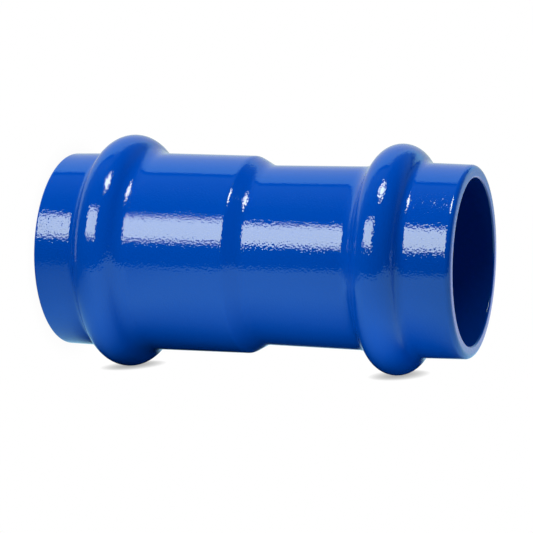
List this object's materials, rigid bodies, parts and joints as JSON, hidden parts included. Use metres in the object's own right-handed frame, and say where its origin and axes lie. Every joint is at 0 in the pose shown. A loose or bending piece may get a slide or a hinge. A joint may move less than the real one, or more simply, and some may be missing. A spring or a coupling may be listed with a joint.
{
  "type": "double socket reducer",
  "caption": "Straight reducing coupling with a push-fit socket and a sealing bead at each end, for joining two pipes of different size.",
  "frame": {"origin": "centre of the large socket's mouth, at the bottom of the part", "axes": "+Z along the axis that both sockets share, from the large mouth up to the small one; the part is turned about Z, so X and Y are free"},
  "size_m": [0.1834, 0.1834, 0.329],
  "materials": {
    "coated_iron": "glossy blue epoxy powder coat with a fine orange peel",
    "seal_rubber": "matt black moulded EPDM"
  },
  "bodies": {
    "root": {"reducer_body": "coated_iron", "large_seal_ring": "seal_rubber", "small_seal_ring": "seal_rubber"}
  },
  "joints": []
}
